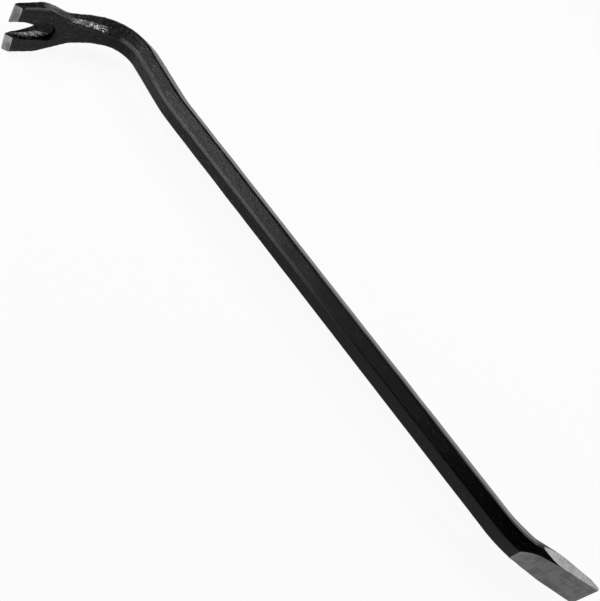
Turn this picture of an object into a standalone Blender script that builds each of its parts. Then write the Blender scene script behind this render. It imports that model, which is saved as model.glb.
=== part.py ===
"""Hexagon crowbar: one forging with an offset nail claw at one end and an offset chisel at the other.

The bar lies on its side. X runs along the shank, with the chisel towards +X and the claw towards -X.
Both bends lie in the XY plane: the claw turns towards -Y and the chisel towards +Y. Z is up, and is
the direction of the claw's width and of the chisel's edge. Units are metres.

A cross-section is drawn in two directions: "across" is Z, and "front" is the side that faces -Y on
the shank and the inside of the big bend at the claw.
"""

import math
from typing import NamedTuple

import bmesh
import bpy
from mathutils import Matrix, Vector

MM = 0.001

# Hexagon bar stock
ACROSS_FLATS = 22.0 * MM
EDGE_EASE = 1.0 * MM
EDGE_STEPS = 3

# Centre line, from the chisel to the claw
CHISEL_LENGTH = 51.5 * MM
CHISEL_BEND_RADIUS = 100.0 * MM
CHISEL_ANGLE = math.radians(21.5)
SHANK_LENGTH = 413.0 * MM
REVERSE_BEND_RADIUS = 122.0 * MM
REVERSE_ANGLE = math.radians(8.0)
GOOSENECK_LENGTH = 47.0 * MM
CLAW_BEND_RADIUS = 39.0 * MM
CLAW_ANGLE = math.radians(82.0)
CLAW_LENGTH = 72.8 * MM

# Claw forging, distances from the prong ends
CLAW_WIDTH = 45.4 * MM
CLAW_FRONT = 4.1 * MM
CLAW_TIP_BACK = 2.9 * MM
CLAW_ROOT_BACK = 5.1 * MM
CLAW_PARALLEL_LENGTH = 25.0 * MM
SHOULDER_POSITION = 41.0 * MM
SHOULDER_WIDTH = 35.4 * MM
SHOULDER_SIDE_HEIGHT = -1.4 * MM
SHOULDER_FLAT_WIDTH = 34.0 * MM
SHOULDER_FRONT = 5.5 * MM
SHOULDER_BACK = 7.8 * MM
NECK_POSITION = 57.0 * MM
NECK_WIDTH = 26.0 * MM
NECK_SIDE_HEIGHT = -0.2 * MM
NECK_FLAT_WIDTH = 21.2 * MM
NECK_FRONT = 7.7 * MM
NECK_BACK = 6.8 * MM
CLAW_FORGING_LENGTH = 88.0 * MM

# Nail slot: a narrowing slot through the claw, opening into a dished recess on the front. The fuller an
# outline, the later it starts to narrow.
SLOT_MOUTH_WIDTH = 12.4 * MM
SLOT_DEPTH = 28.8 * MM
SLOT_FULLNESS = 2.0
SLOT_ROOT_BLUNTNESS = 0.9
SLOT_LAND_TOP = -2.0 * MM
RECESS_WIDTH = 17.8 * MM
RECESS_LENGTH = 41.5 * MM
RECESS_FULLNESS = 8.0
RECESS_ROOT_BLUNTNESS = 0.5
DISH_TOP = 0.8 * MM
MOUTH_SLOPE_LENGTH = 15.0 * MM
SLOT_STEPS = 16
DISH_LEVELS = 6
UPRIGHT_LEVELS = 2

# Prong ends
TIP_LAND = 1.5 * MM
TIP_LAND_FRONT = 0.3 * MM
TIP_FRONT_SLOPE = math.radians(40.0)
TIP_BACK_SLOPE = math.radians(20.0)
TIP_RAKE = math.radians(3.0)
TIP_SETBACK = 1.2 * MM

# Chisel forging and its ground faces, distances from the cutting edge
CHISEL_EDGE_WIDTH = 28.8 * MM
CHISEL_EDGE_FRONT = 1.3 * MM
CHISEL_EDGE_BACK = 1.0 * MM
CHISEL_SIDE_SLOPE = math.radians(1.8)
CHISEL_FRONT_SLOPE = math.radians(5.1)
CHISEL_BACK_SLOPE = math.radians(20.0)
FRONT_GRIND_FLAT = 50.0 * MM
FRONT_GRIND_RUNOUT_RADIUS = 41.0 * MM
FRONT_GRIND_RUNOUT_LENGTH = 30.0 * MM
FRONT_GRIND_STEPS = 20
BLADE_SIDE_STOCK = 0.6 * MM
BLADE_TIP_FRONT = 4.6 * MM
BLADE_TIP_BACK = 3.4 * MM
BLADE_ROOT_POSITION = 32.0 * MM
BLADE_ROOT_WIDTH = 30.0 * MM
BLADE_ROOT_SIDE_HEIGHT = 2.0 * MM
BLADE_ROOT_FRONT_FLAT_WIDTH = 18.0 * MM
BLADE_ROOT_BACK_FLAT_WIDTH = 28.0 * MM
BLADE_ROOT_FRONT = 10.4 * MM
BLADE_ROOT_BACK = 6.4 * MM
BLADE_SHOULDER_POSITION = 46.0 * MM
BLADE_SHOULDER_WIDTH = 27.2 * MM
BLADE_SHOULDER_SIDE_HEIGHT = -0.4 * MM
BLADE_SHOULDER_FRONT_FLAT_WIDTH = 14.0 * MM
BLADE_SHOULDER_BACK_FLAT_WIDTH = 25.2 * MM
BLADE_SHOULDER_FRONT = 10.9 * MM
BLADE_SHOULDER_BACK = 7.2 * MM
CHISEL_FORGING_LENGTH = 53.0 * MM

# Spacing of the cross-sections, how far a cutter reaches past the metal, how near two points of a fresh
# cut may lie before they become one, and the least angle at which an edge shows as a crease
SECTION_STEP = 2.0 * MM
BEND_STEP = math.radians(2.5)
CUTTER_REACH = 20.0 * MM
SEAM_WELD = 0.01 * MM
CREASE_ANGLE = math.radians(8.0)


class Section(NamedTuple):
    """A six-cornered cross-section: half widths and heights of its side corners and its two flats."""

    side: float
    side_height: float
    front_flat: float
    front: float
    back_flat: float
    back: float


class Place(NamedTuple):
    """A point of the centre line, the direction of its front, and its distance from the chisel's edge."""

    point: Vector
    front: Vector
    distance: float


CORNER_RADIUS = ACROSS_FLATS / math.sqrt(3)
HEXAGON = Section(
    CORNER_RADIUS, 0.0, CORNER_RADIUS / 2, ACROSS_FLATS / 2, CORNER_RADIUS / 2, ACROSS_FLATS / 2
)
ACROSS = Vector((0, 0, 1))


def claw_sections():
    """The claw's key sections, each with its distance from the prong ends."""
    half = CLAW_WIDTH / 2
    flat = SHOULDER_FLAT_WIDTH / 2
    shoulder = Section(SHOULDER_WIDTH / 2, SHOULDER_SIDE_HEIGHT, flat, SHOULDER_FRONT, flat, SHOULDER_BACK)
    flat = NECK_FLAT_WIDTH / 2
    neck = Section(NECK_WIDTH / 2, NECK_SIDE_HEIGHT, flat, NECK_FRONT, flat, NECK_BACK)
    return [
        (0.0, Section(half, 0.0, half, CLAW_FRONT, half, CLAW_TIP_BACK)),
        (CLAW_PARALLEL_LENGTH, Section(half, 0.0, half, CLAW_FRONT, half, CLAW_ROOT_BACK)),
        (SHOULDER_POSITION, shoulder),
        (NECK_POSITION, neck),
        (CLAW_FORGING_LENGTH, HEXAGON),
    ]


def chisel_sections():
    """The chisel's key sections before grinding, each with its distance from the cutting edge."""
    half = CHISEL_EDGE_WIDTH / 2 + BLADE_SIDE_STOCK
    root = Section(
        BLADE_ROOT_WIDTH / 2,
        BLADE_ROOT_SIDE_HEIGHT,
        BLADE_ROOT_FRONT_FLAT_WIDTH / 2,
        BLADE_ROOT_FRONT,
        BLADE_ROOT_BACK_FLAT_WIDTH / 2,
        BLADE_ROOT_BACK,
    )
    shoulder = Section(
        BLADE_SHOULDER_WIDTH / 2,
        BLADE_SHOULDER_SIDE_HEIGHT,
        BLADE_SHOULDER_FRONT_FLAT_WIDTH / 2,
        BLADE_SHOULDER_FRONT,
        BLADE_SHOULDER_BACK_FLAT_WIDTH / 2,
        BLADE_SHOULDER_BACK,
    )
    return [
        (0.0, Section(half, 0.0, half, BLADE_TIP_FRONT, half, BLADE_TIP_BACK)),
        (BLADE_ROOT_POSITION, root),
        (BLADE_SHOULDER_POSITION, shoulder),
        (CHISEL_FORGING_LENGTH, HEXAGON),
    ]


def eased_slopes(gaps, rises):
    """Slopes of a smooth curve through the key sections that never overshoots them."""
    slopes = [0.0]
    for k in range(1, len(rises)):
        before = rises[k - 1] / gaps[k - 1]
        after = rises[k] / gaps[k]
        if before * after > 0:
            slopes.append(2 * before * after / (before + after))
        else:
            slopes.append(0.0)
    return slopes + [0.0]


def eased_size(keys, sizes, at):
    """One size at a distance between key sections, on a smooth curve through all of them."""
    if at <= keys[0]:
        return sizes[0]
    if at >= keys[-1]:
        return sizes[-1]
    gaps = [b - a for a, b in zip(keys, keys[1:])]
    rises = [b - a for a, b in zip(sizes, sizes[1:])]
    slopes = eased_slopes(gaps, rises)
    k = max(i for i, key in enumerate(keys[:-1]) if key <= at)
    t = (at - keys[k]) / gaps[k]
    swell = t * (1 - t) * gaps[k] * ((1 - t) * slopes[k] - t * slopes[k + 1])
    return sizes[k] + rises[k] * t * t * (3 - 2 * t) + swell


def section_between(sections, at):
    """The section at a distance from the end that the key sections are measured from."""
    keys = [distance for distance, _ in sections]
    return Section(*(eased_size(keys, sizes, at) for sizes in zip(*(s for _, s in sections))))


def section_ring(section):
    """The section's outline as (across, front) points, each corner eased by a short arc."""
    corners = [
        Vector((section.side, section.side_height)),
        Vector((section.front_flat, section.front)),
        Vector((-section.front_flat, section.front)),
        Vector((-section.side, section.side_height)),
        Vector((-section.back_flat, -section.back)),
        Vector((section.back_flat, -section.back)),
    ]
    ring = []
    for k, corner in enumerate(corners):
        start = (corners[k - 1] - corner).normalized()
        end = (corners[(k + 1) % len(corners)] - corner).normalized()
        weight = math.cos(start.angle(-end) / 2)
        for step in range(EDGE_STEPS + 1):
            t = step / EDGE_STEPS
            near = (1 - t) ** 2
            far = t**2
            pull = 2 * t * (1 - t) * weight
            ring.append(corner + (start * near + end * far) * EDGE_EASE / (near + pull + far))
    return ring


class Walk:
    """Lays out the centre line, from the chisel's edge to the ends of the prongs."""

    def __init__(self):
        heading = math.pi + CHISEL_ANGLE
        self.point = Vector((0, 0, 0))
        self.heading = heading
        self.distance = 0.0
        self.places = [self.here()]

    def here(self):
        front = Vector((-math.sin(self.heading), math.cos(self.heading), 0))
        return Place(self.point.copy(), front, self.distance)

    def forward(self):
        return Vector((math.cos(self.heading), math.sin(self.heading), 0))

    def straight(self, length, step):
        """A straight run, with a place at every step."""
        count = max(1, round(length / step))
        for _ in range(count):
            self.point += self.forward() * (length / count)
            self.distance += length / count
            self.places.append(self.here())

    def bend(self, radius, angle):
        """An arc of the given radius. A positive angle turns towards the front."""
        count = max(2, round(abs(angle) / BEND_STEP))
        for _ in range(count):
            self.heading += angle / count / 2
            self.point += self.forward() * (2 * radius * math.sin(abs(angle) / count / 2))
            self.heading += angle / count / 2
            self.distance += radius * abs(angle) / count
            self.places.append(self.here())


def centre_line():
    """The whole centre line as a list of places."""
    walk = Walk()
    walk.straight(CHISEL_LENGTH, SECTION_STEP)
    walk.bend(CHISEL_BEND_RADIUS, -CHISEL_ANGLE)
    walk.straight(SHANK_LENGTH, SHANK_LENGTH)
    walk.bend(REVERSE_BEND_RADIUS, -REVERSE_ANGLE)
    walk.straight(GOOSENECK_LENGTH, GOOSENECK_LENGTH)
    walk.bend(CLAW_BEND_RADIUS, REVERSE_ANGLE + CLAW_ANGLE)
    walk.straight(CLAW_LENGTH, SECTION_STEP)
    return walk.places


def frame_at(place, into_bar):
    """Turns (distance into the bar, front, across) into a position, at one end of the centre line."""
    axes = Matrix((into_bar, place.front, ACROSS)).transposed()
    return Matrix.Translation(place.point) @ axes.to_4x4()


def add_loft(bm, rings):
    """A closed body through rings with equal counts of points."""
    loops = []
    for ring in rings:
        verts = [bm.verts.new(point) for point in ring]
        loops.append([bm.edges.new(pair) for pair in zip(verts, verts[1:] + verts[:1])])
    for loop, following in zip(loops, loops[1:]):
        bmesh.ops.bridge_loops(bm, edges=loop + following)
    bmesh.ops.contextual_create(bm, geom=loops[0])
    bmesh.ops.contextual_create(bm, geom=loops[-1])
    bmesh.ops.triangulate(bm, faces=bm.faces)
    bmesh.ops.recalc_face_normals(bm, faces=bm.faces)


def new_object(name, bm):
    """An object that holds the given body, shaded smooth between its creases."""
    mesh = bpy.data.meshes.new(name)
    bm.to_mesh(mesh)
    bm.free()
    mesh.shade_smooth()
    mesh.set_sharp_from_angle(angle=CREASE_ANGLE)
    obj = bpy.data.objects.new(name, mesh)
    bpy.context.scene.collection.objects.link(obj)
    return obj


def forging(places):
    """The forged blank: the hexagon bar, bent, with its claw and its chisel spread out."""
    full = places[-1].distance
    rings = []
    for place in places:
        if place.distance < full / 2:
            section = section_between(chisel_sections(), place.distance)
        else:
            section = section_between(claw_sections(), full - place.distance)
        rings.append([place.point + ACROSS * w + place.front * n for w, n in section_ring(section)])
    bm = bmesh.new()
    add_loft(bm, rings)
    return new_object("forged_bar", bm)


def cutter(name, frame, rings):
    """A hidden body that takes metal away. Its rings are points in the frame of one end."""
    bm = bmesh.new()
    add_loft(bm, [[frame @ Vector(point) for point in ring] for ring in rings])
    obj = new_object(name, bm)
    obj.hide_render = True
    obj.display_type = "WIRE"
    return obj


def slot_outline(width, length, fullness, bluntness):
    """Half an outline of the slot as (distance in, half width), from outside the mouth to its root."""
    outline = [Vector((-CUTTER_REACH, width / 2))]
    for step in range(SLOT_STEPS + 1):
        share = math.sin(math.pi / 2 * step / SLOT_STEPS)
        outline.append(Vector((length * share, width / 2 * (1 - share**fullness) ** bluntness)))
    return outline


def slot_ring(height):
    """One level of the slot cutter, from the mouth to the root along one wall and back along the other.

    The walls follow a dish between the two outlines, and towards the mouth a plain slope.
    """
    rise = min(1.0, max(0.0, (height - SLOT_LAND_TOP) / (DISH_TOP - SLOT_LAND_TOP)))
    slope = min(1.0, max(0.0, (height - TIP_LAND_FRONT) / (CLAW_FRONT - TIP_LAND_FRONT)))
    dished = math.sqrt(1 - (1 - rise) ** 2)
    through = slot_outline(SLOT_MOUTH_WIDTH, SLOT_DEPTH, SLOT_FULLNESS, SLOT_ROOT_BLUNTNESS)
    recess = slot_outline(RECESS_WIDTH, RECESS_LENGTH, RECESS_FULLNESS, RECESS_ROOT_BLUNTNESS)
    wall = []
    for inner, outer in zip(through, recess):
        plain = max(0.0, 1 - max(0.0, inner.x) / MOUTH_SLOPE_LENGTH)
        point = inner.lerp(outer, dished * (1 - plain) + slope * plain)
        wall.append((point.x, height, point.y))
    return wall + [(x, n, -w) for x, n, w in reversed(wall[:-1])]


def slot_cutter(frame):
    """The nail slot: upright walls at the back, then a dish, whose rim is upright again."""
    heights = [-CUTTER_REACH, SLOT_LAND_TOP]
    for level in range(1, DISH_LEVELS + 1):
        angle = math.pi / 2 * level / DISH_LEVELS
        heights.append(SLOT_LAND_TOP + (DISH_TOP - SLOT_LAND_TOP) * (1 - math.cos(angle)))
    for level in range(1, UPRIGHT_LEVELS + 1):
        heights.append(DISH_TOP + (CLAW_FRONT - DISH_TOP) * level / UPRIGHT_LEVELS)
    heights.append(CUTTER_REACH)
    return cutter("nail_slot_cutter", frame, [slot_ring(height) for height in heights])


def prong_end_cutter(name, frame, side):
    """Leaves one prong a narrow end land between a steep front bevel and a low back bevel."""
    land_back = TIP_LAND_FRONT - TIP_LAND
    far = CUTTER_REACH
    profile = [
        (far / math.tan(TIP_FRONT_SLOPE), TIP_LAND_FRONT + far),
        (0.0, TIP_LAND_FRONT),
        (0.0, land_back),
        (far, land_back - far * math.tan(TIP_BACK_SLOPE)),
        (far, -2 * far),
        (-far, -2 * far),
        (-far, TIP_LAND_FRONT + far),
    ]
    rings = []
    for across in (0.0, CLAW_WIDTH):
        shift = TIP_SETBACK + (across - SLOT_MOUTH_WIDTH / 2) * math.tan(TIP_RAKE)
        rings.append([(x + shift, n, side * across) for x, n in profile])
    return cutter(name, frame, rings)


def front_grind_profile():
    """The chisel's front face from edge to run-out, as (distance in, height) points."""
    slope = math.tan(CHISEL_FRONT_SLOPE)
    profile = [(-CUTTER_REACH, CHISEL_EDGE_FRONT - CUTTER_REACH * slope)]
    level = CHISEL_EDGE_FRONT + FRONT_GRIND_FLAT * slope
    for step in range(FRONT_GRIND_STEPS + 1):
        past = FRONT_GRIND_RUNOUT_LENGTH * step / FRONT_GRIND_STEPS
        swell = FRONT_GRIND_RUNOUT_RADIUS - math.sqrt(FRONT_GRIND_RUNOUT_RADIUS**2 - past**2)
        profile.append((FRONT_GRIND_FLAT + past, level + past * slope + swell))
    return profile


def across_cutter(name, frame, profile):
    """A cutter whose profile of (distance in, front) points runs straight across the chisel."""
    reach = CHISEL_EDGE_WIDTH
    return cutter(name, frame, [[(x, n, w) for x, n in profile] for w in (-reach, reach)])


def chisel_cutters(frame):
    """The grinding of the chisel: its long front face, its back bevel and its two sides."""
    far = CUTTER_REACH
    face = front_grind_profile()
    front = face + [(face[-1][0], 2 * far), (-far, 2 * far)]
    back_slope = math.tan(CHISEL_BACK_SLOPE)
    back = [
        (-far, -CHISEL_EDGE_BACK + far * back_slope),
        (2 * far, -CHISEL_EDGE_BACK - 2 * far * back_slope),
        (-far, -CHISEL_EDGE_BACK - 2 * far * back_slope),
    ]
    near = CHISEL_EDGE_WIDTH / 2 + far * math.tan(CHISEL_SIDE_SLOPE)
    length = CHISEL_FORGING_LENGTH + far
    away = near - length * math.tan(CHISEL_SIDE_SLOPE)
    made = [across_cutter("chisel_front_cutter", frame, front)]
    for name, side in (("chisel_upper_side_cutter", 1), ("chisel_lower_side_cutter", -1)):
        outline = [(-far, near), (length - far, away), (length - far, near + far), (-far, near + far)]
        made.append(cutter(name, frame, [[(x, n, side * w) for x, w in outline] for n in (-far, far)]))
    made.append(across_cutter("chisel_back_cutter", frame, back))
    return made


def cut(body, cutters):
    """Takes each cutter's shape out of the body, and closes up the seam that it leaves."""
    for tool in cutters:
        taken = body.modifiers.new(tool.name, "BOOLEAN")
        taken.operation = "DIFFERENCE"
        taken.solver = "EXACT"
        taken.object = tool
        seam = body.modifiers.new(f"{tool.name}_seam", "WELD")
        seam.merge_threshold = SEAM_WELD


def black_enamel():
    """The coat on the forging."""
    material = bpy.data.materials.new("black_enamel")
    material.use_nodes = True
    shader = material.node_tree.nodes["Principled BSDF"]
    shader.inputs["Base Color"].default_value = (0.012, 0.012, 0.013, 1)
    shader.inputs["Roughness"].default_value = 0.38
    shader.inputs["Metallic"].default_value = 0.0
    return material


def centre_on_floor(body, others):
    """Moves all meshes so that the finished body stands on Z = 0 with its box centred on the origin."""
    bpy.context.view_layer.update()
    finished = body.evaluated_get(bpy.context.evaluated_depsgraph_get())
    corners = [vert.co for vert in finished.data.vertices]
    low = Vector([min(c[k] for c in corners) for k in range(3)])
    high = Vector([max(c[k] for c in corners) for k in range(3)])
    shift = Vector((-(low.x + high.x) / 2, -(low.y + high.y) / 2, -low.z))
    for obj in [body, *others]:
        obj.data.transform(Matrix.Translation(shift))


def main():
    for obj in list(bpy.data.objects):
        bpy.data.objects.remove(obj)
    places = centre_line()
    body = forging(places)
    chisel_end, claw_end = places[0], places[-1]
    into_chisel = (places[1].point - chisel_end.point).normalized()
    into_claw = (places[-2].point - claw_end.point).normalized()
    chisel = frame_at(chisel_end, into_chisel)
    claw = frame_at(claw_end, into_claw)
    cutters = chisel_cutters(chisel)
    cutters.append(prong_end_cutter("upper_prong_cutter", claw, 1))
    cutters.append(prong_end_cutter("lower_prong_cutter", claw, -1))
    cutters.append(slot_cutter(claw))
    cut(body, cutters)
    body.data.materials.append(black_enamel())
    centre_on_floor(body, cutters)


main()
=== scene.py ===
"""Looks of a forged crowbar: a finely shaped forging, its finishes, a studio and the camera.

The bar lies on its side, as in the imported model. X runs along the shank with the chisel at +X, the claw
hooks to -Y and the chisel bends to +Y. Z is the direction of the claw's width. Units are metres.

A cross-section is drawn in two directions: "across" is Z, and "front" is the side that faces -Y on the
shank and the inside of the big bend at the claw.
"""

import logging
import math
from dataclasses import dataclass, field
from enum import Enum
from typing import Union

import bmesh
import bpy
import numpy as np
from mathutils import Matrix, Vector


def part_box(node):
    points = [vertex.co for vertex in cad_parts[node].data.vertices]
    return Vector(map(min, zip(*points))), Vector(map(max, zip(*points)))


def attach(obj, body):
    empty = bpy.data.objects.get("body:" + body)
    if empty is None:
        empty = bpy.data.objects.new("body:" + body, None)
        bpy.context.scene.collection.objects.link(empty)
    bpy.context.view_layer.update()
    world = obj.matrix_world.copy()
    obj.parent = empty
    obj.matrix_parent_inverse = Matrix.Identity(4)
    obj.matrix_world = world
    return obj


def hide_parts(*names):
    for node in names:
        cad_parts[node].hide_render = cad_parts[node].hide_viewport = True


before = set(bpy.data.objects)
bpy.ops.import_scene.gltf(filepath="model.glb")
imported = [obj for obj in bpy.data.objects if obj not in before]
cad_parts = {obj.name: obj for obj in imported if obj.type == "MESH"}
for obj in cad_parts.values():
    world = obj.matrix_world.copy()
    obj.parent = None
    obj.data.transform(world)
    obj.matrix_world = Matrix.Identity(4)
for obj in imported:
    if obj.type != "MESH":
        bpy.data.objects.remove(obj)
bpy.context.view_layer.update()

MM = 0.001
CAD_NODE = "forged_bar"
PIECE = "enamelled_forging"
CHART = "chart"
CORNERS = 6
UPPER_FRONT_CORNER = 1
FRONT_CORNERS = slice(1, 3)
SIDE_CORNERS = slice(0, CORNERS, 3)
SLOT_CHART_START = 1000.0
# A colour is red, green, blue and alpha. Sizes are lengths in metres.
Colour = tuple[float, ...]
Sizes = tuple[float, ...]
Input = Union["Value", bpy.types.NodeSocket, float, Colour]
log = logging.getLogger("crowbar")


def mm(*lengths: float) -> Sizes:
    """Millimetres as metres."""
    return tuple(length * MM for length in lengths)


class Finish(Enum):
    """Which finish a face has: the value is its material slot on the forging."""

    ENAMEL = 0
    CHISEL_STEEL = 1
    PRONG_STEEL = 2


class End(Enum):
    """The two worked ends of the bar."""

    CHISEL = "chisel"
    CLAW = "claw"


class Column(Enum):
    """The sizes that describe a six-cornered cross-section, in the order of a section's columns."""

    SIDE = 0
    SIDE_HEIGHT = 1
    FRONT_FLAT = 2
    FRONT = 3
    BACK_FLAT = 4
    BACK = 5


@dataclass(frozen=True)
class Run:
    """A stretch of the centre line: its length, and the angle that it turns towards the front."""

    length: float
    turn: float = 0.0


def bend(radius: float, degrees: float) -> Run:
    """A bend of the given radius. A positive angle turns towards the front."""
    return Run(radius * math.radians(abs(degrees)), math.radians(degrees))


@dataclass(frozen=True)
class Waves:
    """A gentle unevenness: a sum of sine waves that run through space in evenly scattered directions."""

    height: float
    length: float
    count: int
    seed: int
    spread: tuple[float, float] = (0.7, 1.4)

    def at(self, points: np.ndarray) -> np.ndarray:
        """The height of the unevenness at each point.

        Each wave is the sine of 2 pi times the distance along its own direction over its own length, plus
        its own phase. Its length is the nominal one times a factor from the spread. The sum is divided by
        the root of the count, so that height is about the size of a usual bump.

        Args:
            points: positions, with x, y and z in the last axis.

        Returns:
            One height for each position.
        """
        chance = np.random.default_rng(self.seed)
        ways = chance.normal(size=(self.count, 3))
        ways /= np.linalg.norm(ways, axis=1, keepdims=True)
        lengths = self.length * chance.uniform(*self.spread, self.count)
        phases = chance.uniform(0.0, 2 * math.pi, self.count)
        turns = 2 * math.pi * points @ (ways / lengths[:, None]).T + phases
        return self.height * np.sin(turns).sum(axis=-1) / math.sqrt(self.count)


def smooth_step(t: np.ndarray) -> np.ndarray:
    """Rises from 0 at 0 to 1 at 1 by 3 t squared minus 2 t cubed, and stays level outside."""
    held = np.clip(t, 0.0, 1.0)
    return held * held * (3 - 2 * held)


@dataclass(frozen=True)
class Sections:
    """Cross-sections at key distances from one end, with every size eased smoothly between them."""

    keys: Sizes
    rows: tuple[Sizes, ...]

    def at(self, distance: np.ndarray) -> np.ndarray:
        """The six sizes at each distance.

        Between two keys a size follows the cubic that meets both values, whose slope at a key is the
        harmonic mean of the slopes of the straight lines on its two sides, or 0 where those disagree or at
        the first and last key. Such a curve never overshoots its keys.

        Args:
            distance: distances from the end, one for each station.

        Returns:
            An array with a row for each station and the columns of Column.
        """
        keys = np.array(self.keys)
        rows = np.array(self.rows)
        gaps = np.diff(keys)[:, None]
        rises = np.diff(rows, axis=0) / gaps
        before, after = rises[:-1], rises[1:]
        agree = before * after > 0
        total = np.where(agree, before + after, 1.0)
        inner = np.where(agree, 2 * before * after / total, 0.0)
        level = np.zeros((1, rows.shape[1]))
        slopes = np.concatenate([level, inner, level])
        held = np.clip(distance, keys[0], keys[-1])
        k = np.clip(np.searchsorted(keys, held, side="right") - 1, 0, len(keys) - 2)
        t = ((held - keys[k]) / gaps[k, 0])[:, None]
        swell = t * (1 - t) * gaps[k] * ((1 - t) * slopes[k] - t * slopes[k + 1])
        return rows[k] + rises[k] * gaps[k] * t * t * (3 - 2 * t) + swell


@dataclass(frozen=True)
class RingShape:
    """How finely the outline of a cross-section is drawn."""

    ease_steps: int = 6
    flat_steps: int = 9

    def middle(self, corner: int) -> int:
        """Which point of a ring is the middle of a corner's arc."""
        return corner * (self.ease_steps + self.flat_steps) + self.ease_steps // 2

    def rings(self, sections: np.ndarray, ease: np.ndarray) -> np.ndarray:
        """The outline of every section as (across, front) points.

        A corner is a conic arc between the two points that lie one ease from it along its sides. Its middle
        weight is the cosine of half the angle turned, which makes the arc circular. The flats between the
        arcs are divided evenly.

        Args:
            sections: the six sizes of each station.
            ease: how far each station's six corners are eased.

        Returns:
            An array of stations by points by 2, in order round the bar.
        """
        side, height, front_flat, front, back_flat, back = (sections[:, c.value] for c in Column)
        across = np.stack([side, front_flat, -front_flat, -side, -back_flat, back_flat], axis=1)
        fronts = np.stack([height, front, front, height, -back, -back], axis=1)
        corners = np.stack([across, fronts], axis=2)
        to_last = np.roll(corners, 1, axis=1) - corners
        to_next = np.roll(corners, -1, axis=1) - corners
        to_last /= np.linalg.norm(to_last, axis=2, keepdims=True)
        to_next /= np.linalg.norm(to_next, axis=2, keepdims=True)
        turn = np.arccos(np.clip(-(to_last * to_next).sum(axis=2), -1.0, 1.0))
        t = np.linspace(0.0, 1.0, self.ease_steps + 1)[None, None, :, None]
        near = (1 - t) ** 2
        far = t**2
        pull = 2 * t * (1 - t) * np.cos(turn / 2)[:, :, None, None]
        reach = (to_last[:, :, None] * near + to_next[:, :, None] * far) / (near + pull + far)
        arcs = corners[:, :, None] + ease[:, :, None, None] * reach
        start = arcs[:, :, -1:]
        end = np.roll(arcs, -1, axis=1)[:, :, :1]
        share = np.linspace(0.0, 1.0, self.flat_steps + 1)[1:-1][None, None, :, None]
        flats = start * (1 - share) + end * share
        return np.concatenate([arcs, flats], axis=2).reshape(len(sections), -1, 2)


def wall_corners(grid: np.ndarray) -> np.ndarray:
    """The corners of a wall's triangles: two for each patch between four neighbours of the grid."""
    a, b, c, d = grid[:-1, :-1], grid[1:, :-1], grid[1:, 1:], grid[:-1, 1:]
    return np.concatenate([np.stack([a, b, c], axis=2), np.stack([a, c, d], axis=2)])


def chart_places(rings: np.ndarray, start: float, zero: int) -> np.ndarray:
    """The chart's coordinates of every ring point, in millimetres.

    The first is the distance along the rings' middles. The second is the share of the way round the ring
    times the mean way round. Each ring's first point comes again at its end, a full turn further.

    Args:
        rings: an array of rings by points by 3.
        start: what the distance along is counted from, in millimetres.
        zero: which point of a ring the way round is counted from.

    Returns:
        An array of rings by points plus 1 by 2.
    """
    steps = np.linalg.norm(np.roll(rings, -1, axis=1) - rings, axis=2)
    round_it = np.concatenate([np.zeros((len(rings), 1)), np.cumsum(steps, axis=1)], axis=1)
    round_it *= round_it[:, -1].mean() / round_it[:, -1:]
    round_it -= round_it[:, zero : zero + 1]
    hops = np.linalg.norm(np.diff(rings.mean(axis=1), axis=0), axis=1)
    along = np.broadcast_to(np.concatenate([[0.0], np.cumsum(hops)])[:, None], round_it.shape)
    return np.stack([along, round_it], axis=2) / MM + np.array([start, 0.0])


def face_outwards(data: bpy.types.Mesh) -> None:
    """Turns the faces of a closed mesh outwards.

    Args:
        data: the mesh.
    """
    shape = bmesh.new()
    shape.from_mesh(data)
    bmesh.ops.recalc_face_normals(shape, faces=shape.faces)
    shape.to_mesh(data)
    shape.free()


def closed_loft(
    name: str, rings: np.ndarray, finish: Finish, chart_start: float = 0.0, chart_zero: int = 0
) -> bpy.types.Object:
    """A closed body through rings of points, all in one finish, with its faces outwards.

    Point m of ring s is joined to its neighbours m + 1 and s + 1 by two triangles. Each end ring is flat
    and is closed by one face.

    Args:
        name: the body's name.
        rings: an array of rings by points by 3.
        finish: the finish of all its faces.
        chart_start: what the chart's distance along is counted from, in millimetres.
        chart_zero: which point of a ring the chart's way round is counted from.

    Returns:
        The body's object.
    """
    count, size, _ = rings.shape
    index = np.arange(count * size).reshape(count, size)
    walls = wall_corners(np.concatenate([index, index[:, :1]], axis=1)).reshape(-1, 3)
    places = chart_places(rings, chart_start, chart_zero)
    charted = np.concatenate([wall_corners(places).reshape(-1, 2), places[0, :-1], places[-1, :-1]])
    data = bpy.data.meshes.new(name)
    faces = walls.tolist() + index[[0, -1]].tolist()
    data.from_pydata(rings.reshape(-1, 3).tolist(), [], faces)
    for _ in Finish:
        data.materials.append(None)
    data.polygons.foreach_set("material_index", np.full(len(data.polygons), finish.value, np.int32))
    data.uv_layers.new(name=CHART).data.foreach_set("uv", charted.ravel())
    face_outwards(data)
    made = bpy.data.objects.new(name, data)
    bpy.context.scene.collection.objects.link(made)
    return made


@dataclass(frozen=True)
class LocalFrame:
    """A worked end's own axes: distance into the bar from its end, front, and across."""

    origin: np.ndarray
    into: np.ndarray
    front: np.ndarray

    def place(self, points: np.ndarray) -> np.ndarray:
        """Turns (distance in, front, across) into a position."""
        axes = np.stack([self.into, self.front, np.array([0.0, 0.0, 1.0])])
        return self.origin + points @ axes


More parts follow.
